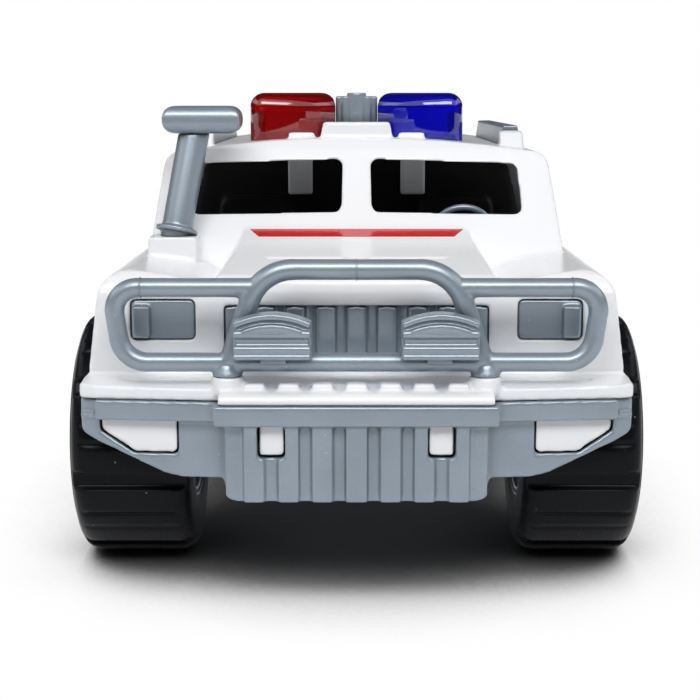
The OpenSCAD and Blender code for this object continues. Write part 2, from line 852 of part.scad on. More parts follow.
// Light bar on the roof
lens_x = siren_w / 2 - 0.3;
lens_z = roof_z + bar_h;

module lens_profile(w) {
    r = 9;
    polygon(concat(
        [[lens_x + w, roof_z - camber], [lens_x + lens_w - w, roof_z - camber]],
        arc(lens_x + lens_w - r, lens_z - r, r - w, 0, 90, 8),
        arc(lens_x + 3, lens_z - 3, 3 - w, 90, 180, 3)));
}

module beacon() {
    difference() {
        along_y(light_y, light_y + lens_depth) lens_profile(0);
        along_y(light_y + lens_wall, light_y + lens_depth - lens_wall) lens_profile(lens_wall);
        cab_form(0);
    }
}

module beacon_red() {
    color("red", 0.8) mirror([1, 0, 0]) beacon();
}

module beacon_blue() {
    color("blue", 0.8) beacon();
}

module siren_block() {
    color("slategray") difference() {
        union() {
            along_y(light_y, light_y + lens_depth)
                translate([-lens_x + 0.3, roof_z - 3]) square([2 * lens_x - 0.6, bar_h + 2]);
            along_y(light_y - fit, light_y + lens_depth)
                translate([-siren_w * 0.23, roof_z - 3]) square([siren_w * 0.46, bar_h + 3]);
        }
        cab_form(0);
    }
}

module roof_rail() {
    color("slategray") difference() {
        intersection() {
            along_y(rail_y, rail_y + rail_l)
                polygon([
                    [rail_x - rail_w / 2, roof_z - camber - 3],
                    [rail_x + rail_w / 2 + 2, roof_z - camber - 3],
                    [rail_x + rail_w / 2, roof_z - 2 + rail_h * 0.8],
                    [rail_x - rail_w / 2 + 1, roof_z - 4 + rail_h]]);
            along_x(0, cab_half)
                polygon([
                    [rail_y, 0], [rail_y + rail_l, 0], [rail_y + rail_l, roof_z - camber + 3],
                    [rail_y + rail_l - 12, roof_z + rail_h], [rail_y, roof_z + rail_h]]);
        }
        cab_form(0);
    }
}

module roof_rail_left() {
    roof_rail();
}

module roof_rail_right() {
    mirror([1, 0, 0]) roof_rail();
}

// Inside of the cab
deck_z = belt_z - 12;
deck_half = cab_half - wall - 4;
tub_half = arch_in_x - 4;
pan_top = floor_z + chassis_wall;
tub_t = 2.4;
bulkhead_y = side_pane_y[0][1] + 5;
dash_y = screen_y + 12;
seat_y = bulkhead_y - 10;
seat_x = deck_half * 0.58;
steer_x = seat_x;
steer_y = dash_y + 20;
steer_z = deck_z + 18;
steer_tilt = 60;

module seat_shape(w) {
    polygon(both_sides(concat(
        [[w / 2 + 2, 0]],
        arc(w / 2 - 6, seat_h - 6, 6, 0, 90, 4))));
}

module steering_frame() {
    translate([steer_x, steer_y, steer_z]) rotate([-steer_tilt, 0, 0]) children();
}

module interior_tub() {
    color("black") {
        box(-deck_half, deck_half, dash_y - 8, tail_y - 14, deck_z, deck_z + tub_t);
        difference() {
            box(-tub_half, tub_half, dash_y, bulkhead_y, pan_top, deck_z + past);
            box(-tub_half + tub_t, tub_half - tub_t, dash_y + tub_t, bulkhead_y - tub_t,
                pan_top - past, deck_z);
        }
        along_x(-deck_half + 4, deck_half - 4)
            polygon([
                [dash_y - 8, deck_z], [dash_y + 4, deck_z],
                [dash_y + 2, deck_z + 14], [dash_y - 6, deck_z + 18]]);
        along_y(bulkhead_y, bulkhead_y + tub_t)
            polygon(both_sides([
                [deck_half, deck_z], [deck_half - 1, belt_z], [deck_half - 10, roof_z - camber - 9],
                [deck_half - 22, roof_z - camber - 5]]));
        mirrored() {
            along_y(seat_y, seat_y + 8) translate([seat_x, deck_z]) seat_shape(seat_w);
            box(seat_x - seat_w / 2, seat_x + seat_w / 2, seat_y - 26, seat_y + past, deck_z, deck_z + 9);
        }
        along_y(seat_y - 30, bulkhead_y + past) polygon(both_sides([[14, deck_z], [11, deck_z + 14]]));
        difference() {
            steering_frame() {
                translate([0, 0, -24]) cylinder(d = steer_pin_d + 4, h = 24 - 3);
                translate([0, 0, -4]) cylinder(d = steer_pin_d, h = 8);
            }
            box(steer_x - 10, steer_x + 10, dash_y - 30, dash_y, 0, roof_z);
        }
    }
}

module steering_wheel() {
    ring = 3;
    color("slategray") steering_frame() difference() {
        union() {
            rotate_extrude() translate([steer_d / 2 - ring / 2, 0]) circle(d = ring);
            translate([0, 0, -2.5]) cylinder(d = steer_pin_d + 5, h = 5);
            for (a = [90, 210, 330])
                rotate([0, 0, a]) translate([0, -1.6, -1]) cube([steer_d / 2 - ring / 2, 3.2, 2]);
        }
        translate([0, 0, -5]) cylinder(d = steer_pin_d + 2 * hub_clear, h = 12);
    }
}

// Axles and their push-on retainers
module axle(y) {
    color("silver") translate([-axle_end_x, y, axle_z]) rotate([0, 90, 0])
        cylinder(d = axle_d, h = 2 * axle_end_x);
}

module front_axle() {
    axle(front_axle_y);
}

module rear_axle() {
    axle(rear_axle_y);
}

module axle_retainers() {
    color("silver") for (y = [front_axle_y, rear_axle_y])
        mirrored() translate([web_x + 0.5, y, axle_z]) rotate([0, 90, 0]) difference() {
            cylinder(r = axle_d / 2 + 3.5, h = nut_t);
            translate([0, 0, -past]) cylinder(d = axle_d, h = nut_t + 2 * past);
        }
}

// Wheels, drawn about their own axis with the outer side towards +Z, then set in place.
hub_r = axle_d / 2 + 4.5;
cap_r = hub_r + 4;
half_tyre = tyre_w / 2;
bead_w = 4;

module tyre(side) {
    outer_r = tyre_d / 2;
    shoulder_r = 7;
    turn = 360 / lug_count;
    color([0.05, 0.05, 0.06]) difference() {
        rotate_extrude($fn = 96) polygon(concat(
            [[rim_r, -half_tyre + 1], [rim_r + 5, -half_tyre]],
            arc(outer_r - shoulder_r, -half_tyre + shoulder_r, shoulder_r, -90, 0, 4),
            arc(outer_r - shoulder_r, half_tyre - shoulder_r, shoulder_r, 0, 90, 4),
            [[rim_r + 5, half_tyre], [rim_r, half_tyre - 1]]));
        translate([0, 0, -half_tyre - past]) cylinder(r = rim_r + hub_clear, h = tyre_w + 2 * past);
        translate([0, 0, -half_tyre + bead_w]) cylinder(r = outer_r - tread_t, h = tyre_w - 2 * bead_w);
        for (i = [0:lug_count - 1]) rotate([0, 0, turn * (i + 0.5) - side * tread_turn]) {
            translate([outer_r - groove_depth, -groove_w / 2, -half_tyre - past])
                cube([groove_depth * 2, groove_w, tyre_w + 2 * past]);
            for (offset = [-4, 4])
                rotate([0, 0, turn / 2])
                    translate([outer_r - groove_depth / 3, offset - 1, -half_tyre - past])
                        cube([groove_depth, 2, tyre_w + 2 * past]);
        }
    }
}

module rim() {
    dish_r = rim_r - 2.5;
    color("slategray") difference() {
        union() {
            translate([0, 0, -half_tyre + 1]) cylinder(r = rim_r, h = tyre_w - 2);
            translate([0, 0, lug_out_x + 0.5 - track / 2]) cylinder(r = hub_r, h = tyre_w / 2);
        }
        translate([0, 0, web_x - track / 2]) cylinder(r = dish_r, h = tyre_w);
        translate([0, 0, -half_tyre]) difference() {
            cylinder(r = dish_r, h = 4);
            cylinder(r = hub_r, h = 4);
        }
        translate([0, 0, -tyre_w]) cylinder(d = axle_d + 2 * hub_clear, h = 2 * tyre_w);
        for (i = [0:5]) rotate([0, 0, 60 * i]) translate([(dish_r + cap_r) / 2, 0, web_x - track / 2 - 2])
            cylinder(d = dish_r - cap_r - 4, h = 2 + past);
    }
}

module hub_cap() {
    web_z = web_x - track / 2;
    color("silver") translate([0, 0, web_z]) difference() {
        union() {
            cylinder(r = cap_r, h = 5);
            translate([0, 0, 5]) cylinder(r1 = cap_r, r2 = cap_r - 2, h = 2);
        }
        translate([0, 0, -past]) cylinder(r = cap_r - 2.5, h = 5 + past);
    }
}

module wheel_place(side, y) {
    translate([side * track / 2, y, axle_z]) rotate([0, side * 90, 0]) children();
}

body_shell();
chassis();
grille_panel();
headlamp_left();
headlamp_right();
bull_bar();
fog_lamp_left();
fog_lamp_right();
snorkel_pipe();
snorkel_head();
siren_block();
beacon_red();
beacon_blue();
roof_rail_left();
roof_rail_right();
interior_tub();
steering_wheel();
front_axle();
rear_axle();
axle_retainers();
wheel_place(1, front_axle_y) tyre(1);  // tyre_front_left
wheel_place(-1, front_axle_y) tyre(-1);  // tyre_front_right
wheel_place(1, rear_axle_y) tyre(1);  // tyre_rear_left
wheel_place(-1, rear_axle_y) tyre(-1);  // tyre_rear_right
wheel_place(1, front_axle_y) rim();  // rim_front_left
wheel_place(-1, front_axle_y) rim();  // rim_front_right
wheel_place(1, rear_axle_y) rim();  // rim_rear_left
wheel_place(-1, rear_axle_y) rim();  // rim_rear_right
wheel_place(1, front_axle_y) hub_cap();  // hub_cap_front_left
wheel_place(-1, front_axle_y) hub_cap();  // hub_cap_front_right
wheel_place(1, rear_axle_y) hub_cap();  // hub_cap_rear_left
wheel_place(-1, rear_axle_y) hub_cap();  // hub_cap_rear_right
hood_decal();
side_stripe_left();
side_stripe_right();
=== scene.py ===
import math

import bmesh
import bpy
from mathutils import Matrix, Vector


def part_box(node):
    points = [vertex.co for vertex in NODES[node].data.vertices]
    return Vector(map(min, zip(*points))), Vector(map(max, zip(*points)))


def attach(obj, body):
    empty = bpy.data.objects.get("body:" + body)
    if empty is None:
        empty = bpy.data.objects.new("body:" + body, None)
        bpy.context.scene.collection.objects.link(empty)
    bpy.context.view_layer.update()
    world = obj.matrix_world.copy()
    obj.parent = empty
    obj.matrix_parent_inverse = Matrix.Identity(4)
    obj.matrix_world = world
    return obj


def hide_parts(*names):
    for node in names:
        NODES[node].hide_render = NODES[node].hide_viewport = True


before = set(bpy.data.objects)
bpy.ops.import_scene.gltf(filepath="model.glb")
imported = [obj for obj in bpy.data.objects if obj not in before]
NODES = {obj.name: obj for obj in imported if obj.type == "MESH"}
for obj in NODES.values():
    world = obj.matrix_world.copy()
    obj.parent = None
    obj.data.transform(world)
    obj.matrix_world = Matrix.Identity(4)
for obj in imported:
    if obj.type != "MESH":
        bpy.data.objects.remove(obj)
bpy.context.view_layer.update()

bl_info = {
    "name": "Toy Ambulance",
    "version": (1, 0, 0),
    "blender": (4, 5, 0),
    "location": "View3D > Sidebar > Ambulance",
    "description": "Dresses the toy ambulance frame with moulded plastic pieces and a studio",
    "category": "Object",
}

ROOT = "body"
MM = 0.001
# Points nearer than this are one point
SAME_POINT = 1e-6


class AmbulanceColours(bpy.types.PropertyGroup):
    """Colours of the mouldings"""
    white: bpy.props.FloatVectorProperty(
        name="White", description="Body moulding", subtype="COLOR",
        default=(0.84, 0.85, 0.87), min=0, max=1)
    silver: bpy.props.FloatVectorProperty(
        name="Silver", description="Chassis and trim mouldings", subtype="COLOR",
        default=(0.285, 0.337, 0.39), min=0, max=1)
    black: bpy.props.FloatVectorProperty(
        name="Black", description="Cab interior", subtype="COLOR",
        default=(0.008, 0.008, 0.009), min=0, max=1)
    tyre: bpy.props.FloatVectorProperty(
        name="Tyre", description="Blow-moulded tyres", subtype="COLOR",
        default=(0.004, 0.0045, 0.006), min=0, max=1)
    red: bpy.props.FloatVectorProperty(
        name="Red lens", description="Clear red lens", subtype="COLOR",
        default=(0.66, 0.002, 0.005), min=0, max=1)
    blue: bpy.props.FloatVectorProperty(
        name="Blue lens", description="Clear blue lens", subtype="COLOR",
        default=(0.008, 0.01, 0.85), min=0, max=1)
    film: bpy.props.FloatVectorProperty(
        name="Film", description="Red sticker film", subtype="COLOR",
        default=(0.62, 0.008, 0.015), min=0, max=1)


class AmbulanceFinish(bpy.types.PropertyGroup):
    """How round the edges of the mouldings are"""
    body_voxel: bpy.props.FloatProperty(
        name="Body detail", description="Grain size of the softened body", unit="LENGTH", default=0.0008,
        min=0.0005, max=0.003, precision=5)
    trim_voxel: bpy.props.FloatProperty(
        name="Trim detail", description="Grain size of the softened trim", unit="LENGTH", default=0.0006,
        min=0.0004, max=0.003, precision=5)
    lens_round: bpy.props.FloatProperty(
        name="Lens rounding", description="Radius of the lenses' upper edges", unit="LENGTH",
        default=0.0068, min=0.001, max=0.009, precision=5)
    lens_wall: bpy.props.FloatProperty(
        name="Lens wall", description="Thickness of the clear lenses", unit="LENGTH", default=0.0016,
        min=0.0008, max=0.003, precision=5)
    lens_rise: bpy.props.FloatProperty(
        name="Lens rise", description="How much higher a lens sits at the middle of the roof",
        unit="LENGTH", default=0.0022, min=0, max=0.005, precision=5)
    rounding: bpy.props.IntProperty(
        name="Rounding", description="Smoothing passes over a moulding's edges", default=5, min=0, max=20)


class AmbulanceStudio(bpy.types.PropertyGroup):
    """Camera and lamps"""
    eye: bpy.props.FloatVectorProperty(
        name="Camera", description="Place of the camera", subtype="TRANSLATION",
        default=(0.0, -0.761, 0.194))
    pitch: bpy.props.FloatProperty(
        name="Pitch", description="How far the camera looks down", subtype="ANGLE",
        default=math.radians(9.44))
    lens: bpy.props.FloatProperty(
        name="Lens", description="Focal length on a 36 mm sensor", default=78.9, min=10, max=300)
    shift: bpy.props.FloatProperty(
        name="Shift", description="Sideways shift of the frame", default=-0.0093, min=-0.1, max=0.1)
    key_power: bpy.props.FloatProperty(
        name="Key power", description="Power of the overhead softbox", unit="POWER", default=4.5, min=0)
    front_power: bpy.props.FloatProperty(
        name="Front power", description="Power of the softbox above the camera", unit="POWER",
        default=11.0, min=0)
    side_power: bpy.props.FloatProperty(
        name="Side power", description="Power of each side softbox", unit="POWER", default=1.5, min=0)
    fill: bpy.props.FloatProperty(
        name="Fill", description="Strength of the even light from all round", default=0.15, min=0, max=1)


def settings():
    scene = bpy.context.scene
    return scene.ambulance_colours, scene.ambulance_finish, scene.ambulance_studio


# Shader node helpers

def add_node(tree, kind, **values):
    node = tree.nodes.new(kind)
    for key, value in values.items():
        if key in node.inputs:
            node.inputs[key].default_value = value
        else:
            setattr(node, key, value)
    return node


def mould_grain_group():
    """Unevenness of a moulding: a fine speckle, a drift of tone and a height for bumps."""
    name = "Mould grain"
    if name in bpy.data.node_groups:
        return bpy.data.node_groups[name]
    tree = bpy.data.node_groups.new(name, "ShaderNodeTree")
    tree.interface.new_socket(name="Fine scale", in_out="INPUT", socket_type="NodeSocketFloat")
    tree.interface.new_socket(name="Broad scale", in_out="INPUT", socket_type="NodeSocketFloat")
    tree.interface.new_socket(name="Speckle", in_out="OUTPUT", socket_type="NodeSocketFloat")
    tree.interface.new_socket(name="Drift", in_out="OUTPUT", socket_type="NodeSocketFloat")
    tree.interface.new_socket(name="Height", in_out="OUTPUT", socket_type="NodeSocketFloat")
    given = tree.nodes.new("NodeGroupInput")
    result = tree.nodes.new("NodeGroupOutput")
    place = tree.nodes.new("ShaderNodeTexCoord")
    fine = add_node(tree, "ShaderNodeTexNoise", Detail=3.0, Roughness=0.6)
    broad = add_node(tree, "ShaderNodeTexNoise", Detail=2.0, Roughness=0.5)
    both = add_node(tree, "ShaderNodeMath", operation="MULTIPLY_ADD")
    both.inputs[1].default_value = 0.25
    fleck = add_node(tree, "ShaderNodeMix", data_type="FLOAT", Factor=0.4)
    tree.links.new(place.outputs["Object"], fine.inputs["Vector"])
    tree.links.new(place.outputs["Object"], broad.inputs["Vector"])
    tree.links.new(given.outputs["Fine scale"], fine.inputs["Scale"])
    tree.links.new(given.outputs["Broad scale"], broad.inputs["Scale"])
    tree.links.new(fine.outputs["Fac"], both.inputs[0])
    tree.links.new(broad.outputs["Fac"], both.inputs[2])
    tree.links.new(fine.outputs["Fac"], result.inputs["Speckle"])
    tree.links.new(broad.outputs["Fac"], fleck.inputs["A"])
    tree.links.new(fine.outputs["Fac"], fleck.inputs["B"])
    tree.links.new(fleck.outputs["Result"], result.inputs["Drift"])
    tree.links.new(both.outputs["Value"], result.inputs["Height"])
    return tree


def dust_group():
    """Sparse pale specks, each a fraction of a millimetre across."""
    name = "Dust"
    if name in bpy.data.node_groups:
        return bpy.data.node_groups[name]
    tree = bpy.data.node_groups.new(name, "ShaderNodeTree")
    tree.interface.new_socket(name="Amount", in_out="INPUT", socket_type="NodeSocketFloat")
    tree.interface.new_socket(name="Mask", in_out="OUTPUT", socket_type="NodeSocketFloat")
    given = tree.nodes.new("NodeGroupInput")
    result = tree.nodes.new("NodeGroupOutput")
    place = tree.nodes.new("ShaderNodeTexCoord")
    cells = add_node(tree, "ShaderNodeTexVoronoi", Scale=260.0)
    draw = tree.nodes.new("ShaderNodeSeparateColor")
    dot = add_node(tree, "ShaderNodeMapRange")
    dot.inputs["From Min"].default_value = 0.11
    dot.inputs["From Max"].default_value = 0.06
    some = add_node(tree, "ShaderNodeMath", operation="GREATER_THAN")
    some.inputs[1].default_value = 0.88
    chosen = add_node(tree, "ShaderNodeMath", operation="MULTIPLY")
    mask = add_node(tree, "ShaderNodeMath", operation="MULTIPLY")
    tree.links.new(place.outputs["Object"], cells.inputs["Vector"])
    tree.links.new(cells.outputs["Color"], draw.inputs["Color"])
    tree.links.new(cells.outputs["Distance"], dot.inputs["Value"])
    tree.links.new(draw.outputs["Red"], some.inputs[0])
    tree.links.new(dot.outputs["Result"], chosen.inputs[0])
    tree.links.new(some.outputs["Value"], chosen.inputs[1])
    tree.links.new(chosen.outputs["Value"], mask.inputs[0])
    tree.links.new(given.outputs["Amount"], mask.inputs[1])
    tree.links.new(mask.outputs["Value"], result.inputs["Mask"])
    return tree


def add_dust(material, amount):
    """Lays pale specks over a material's colour."""
    tree = material.node_tree
    if "Dust" in tree.nodes:
        return material
    shader = tree.nodes["Principled BSDF"]
    below = shader.inputs["Base Color"].links[0].from_socket
    dust = add_node(tree, "ShaderNodeGroup", node_tree=dust_group(), name="Dust")
    dust.inputs["Amount"].default_value = amount
    over = add_node(tree, "ShaderNodeMix", data_type="RGBA")
    over.inputs["B"].default_value = (0.8, 0.8, 0.8, 1)
    tree.links.new(dust.outputs["Mask"], over.inputs["Factor"])
    tree.links.new(below, over.inputs["A"])
    tree.links.new(over.outputs["Result"], shader.inputs["Base Color"])
    return material


def add_painted_recess_shade(material, distance):
    """Paints shade into a material's colour: darker in grooves and gaps, where an ambient occlusion mask
    finds nearby surfaces.
    """
    tree = material.node_tree
    if "Recess" in tree.nodes:
        return material
    shader = tree.nodes["Principled BSDF"]
    below = shader.inputs["Base Color"].links[0].from_socket
    # Painted shade: the occlusion mask multiplies the colour down to 0.4 in grooves and gaps.
    painted_shade_occlusion = add_node(tree, "ShaderNodeAmbientOcclusion", samples=8, Distance=distance, name="Recess")
    tone = add_node(tree, "ShaderNodeMapRange")
    tone.inputs["From Min"].default_value = 0.35
    tone.inputs["From Max"].default_value = 0.9
    tone.inputs["To Min"].default_value = 0.4
    tone.inputs["To Max"].default_value = 1.0
    over = add_node(tree, "ShaderNodeMix", data_type="RGBA", blend_type="MULTIPLY")
    over.inputs["Factor"].default_value = 1.0
    tree.links.new(painted_shade_occlusion.outputs["AO"], tone.inputs["Value"])
    tree.links.new(below, over.inputs["A"])
    tree.links.new(tone.outputs["Result"], over.inputs["B"])
    tree.links.new(over.outputs["Result"], shader.inputs["Base Color"])
    return material


def grained_material(name, light, dark, roughness, fine, broad, bump, **surface):
    """A moulded plastic whose colour drifts between two tones, with uneven gloss and a fine grain."""
    if name in bpy.data.materials:
        return bpy.data.materials[name]
    material = bpy.data.materials.new(name)
    material.use_nodes = True
    tree = material.node_tree
    shader = tree.nodes["Principled BSDF"]
    for key, value in surface.items():
        shader.inputs[key.replace("_", " ")].default_value = value
    grain = add_node(tree, "ShaderNodeGroup", node_tree=mould_grain_group())
    grain.inputs["Fine scale"].default_value = fine
    grain.inputs["Broad scale"].default_value = broad
    tone = add_node(tree, "ShaderNodeMix", data_type="RGBA")
    tone.inputs["A"].default_value = (*dark, 1)
    tone.inputs["B"].default_value = (*light, 1)
    gloss = add_node(tree, "ShaderNodeMapRange")
    gloss.inputs["To Min"].default_value = roughness[0]
    gloss.inputs["To Max"].default_value = roughness[1]
    relief = add_node(tree, "ShaderNodeBump", Strength=bump[0], Distance=bump[1])
    tree.links.new(grain.outputs["Drift"], tone.inputs["Factor"])
    tree.links.new(grain.outputs["Speckle"], gloss.inputs["Value"])
    tree.links.new(grain.outputs["Height"], relief.inputs["Height"])
    tree.links.new(tone.outputs["Result"], shader.inputs["Base Color"])
    tree.links.new(gloss.outputs["Result"], shader.inputs["Roughness"])
    tree.links.new(relief.outputs["Normal"], shader.inputs["Normal"])
    return material


def shade(colour, factor):
    return tuple(min(1.0, channel * factor) for channel in colour)


def white_plastic():
    white = settings()[0].white
    return grained_material("White moulding", shade(white, 1.02), shade(white, 0.97),
                            roughness=(0.18, 0.28), fine=900, broad=30, bump=(0.05, 0.0003), IOR=1.49)


def silver_plastic():
    silver = settings()[0].silver
    moulding = grained_material("Silver moulding", shade(silver, 1.22), shade(silver, 0.78),
                                roughness=(0.26, 0.38), fine=1400, broad=45, bump=(0.06, 0.0003),
                                IOR=1.49, Metallic=0.42)
    # The silver's colour has painted shade in its grooves and gaps, and dust specks over it.
    return add_dust(add_painted_recess_shade(moulding, distance=0.006), amount=0.35)


def black_plastic():
    black = settings()[0].black
    return grained_material("Black moulding", shade(black, 1.4), black,
                            roughness=(0.4, 0.55), fine=1500, broad=40, bump=(0.08, 0.0004),
                            IOR=1.49, Specular_IOR_Level=0.25)


def tyre_plastic():
    tyre = settings()[0].tyre
    moulding = grained_material("Tyre moulding", shade(tyre, 1.5), tyre,
                                roughness=(0.22, 0.36), fine=1100, broad=60, bump=(0.1, 0.0006),
                                IOR=1.5, Specular_IOR_Level=0.1)
    return add_dust(moulding, amount=0.25)


def steel():
    return grained_material("Axle steel", (0.55, 0.56, 0.58), (0.42, 0.43, 0.45),
                            roughness=(0.25, 0.4), fine=3000, broad=200, bump=(0.05, 0.0002), Metallic=1.0)


def film():
    red = settings()[0].film
    return grained_material("Red film", shade(red, 1.05), shade(red, 0.94),
                            roughness=(0.12, 0.2), fine=700, broad=50, bump=(0.03, 0.0002),
                            IOR=1.5, Coat_Weight=0.4)


def lens_plastic(name, colour):
    return grained_material(name, shade(colour, 1.05), shade(colour, 0.92),
                            roughness=(0.03, 0.08), fine=500, broad=60, bump=(0.03, 0.0003),
                            IOR=1.5, Transmission_Weight=0.85, Coat_Weight=1.0)


# Mesh helpers

def new_piece(name, mesh, material, body, slot, *nodes):
    """Links a mesh as a piece that rides on a body and stands for some CAD nodes."""
    mesh.name = name
    mesh.materials.clear()
    mesh.materials.append(material)
    piece = bpy.data.objects.new(name, mesh)
    bpy.context.scene.collection.objects.link(piece)
    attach(piece, body)
    if nodes:
        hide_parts(*nodes)
    return piece


def node_mesh(node):
    """A copy of a CAD node's mesh with its loose triangles joined."""
    shape = bmesh.new()
    shape.from_mesh(NODES[node].data)
    bmesh.ops.remove_doubles(shape, verts=shape.verts, dist=SAME_POINT)
    return finished_mesh(node, shape)


def applied(mesh, *modifiers):
    """The mesh after these modifiers, each given as a type and its values."""
    carrier = bpy.data.objects.new("carrier", mesh)
    bpy.context.scene.collection.objects.link(carrier)
    for kind, values in modifiers:
        modifier = carrier.modifiers.new(kind, kind)
        for key, value in values.items():
            setattr(modifier, key, value)
    evaluated = carrier.evaluated_get(bpy.context.evaluated_depsgraph_get())
    result = bpy.data.meshes.new_from_object(evaluated)
    bpy.data.objects.remove(carrier)
    return result


def softened(mesh, voxel, passes, triangles):
    """Rounds all edges of a closed mesh as a moulding's are, and thins the result to some triangles."""
    rounded = applied(
        mesh,
        ("REMESH", {"mode": "VOXEL", "voxel_size": voxel, "use_smooth_shade": True}),
        ("SMOOTH", {"factor": 0.5, "iterations": passes}))
    keep = triangles / (2 * len(rounded.polygons))
    if keep < 1:
        rounded = applied(rounded, ("DECIMATE", {"decimate_type": "COLLAPSE", "ratio": keep}))
    rounded.shade_smooth()
    return rounded


def soft_piece(node, name, material, body, slot, voxel, passes, triangles):
    """A softened copy of a CAD node, which it replaces."""
    mesh = softened(node_mesh(node), voxel, passes, triangles)
    return new_piece(name, mesh, material, body, slot, node)


def add_block(shape, low, high):
    """Adds a box between two corners, and gives its vertices."""
    verts = bmesh.ops.create_cube(shape, size=1.0)["verts"]
    bmesh.ops.scale(shape, vec=high - low, verts=verts)
    bmesh.ops.translate(shape, vec=(low + high) / 2, verts=verts)
    return verts


def add_column(shape, low, high, rounding):
    """Adds a box with rounded upright edges."""
    verts = add_block(shape, low, high)
    upright = {edge for vert in verts for edge in vert.link_edges
               if abs(edge.verts[0].co.z - edge.verts[1].co.z) > SAME_POINT}
    bmesh.ops.bevel(shape, geom=list(upright), offset=rounding, offset_type="OFFSET", affect="EDGES",
                    segments=6, profile=0.5, material=-1)


def finished_mesh(name, shape):
    """A mesh from a bmesh, which is freed."""
    mesh = bpy.data.meshes.new(name)
    shape.to_mesh(mesh)
    shape.free()
    return mesh


def corners(node):
    """A node's lowest and highest corners."""
    return [Vector(corner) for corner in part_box(node)]


def add_ring(shape, radius, width, rise, steps):
    """Spins a flattened tube about Z at a radius, and gives its vertices."""
    before = set(shape.verts)
    outline = bmesh.ops.create_circle(shape, segments=8, radius=1.0)["verts"]
    bmesh.ops.scale(shape, vec=(width, rise, 1), verts=outline)
    bmesh.ops.translate(shape, vec=(radius, 0, 0), verts=outline)
    bmesh.ops.rotate(shape, matrix=Matrix.Rotation(math.pi / 2, 3, "X"), verts=outline)
    edges = list({edge for vert in outline for edge in vert.link_edges})
    bmesh.ops.spin(shape, geom=outline + edges, axis=(0, 0, 1), cent=(0, 0, 0), dvec=(0, 0, 0),
                   angle=math.tau, steps=steps, use_merge=True)
    return [vert for vert in shape.verts if vert not in before]


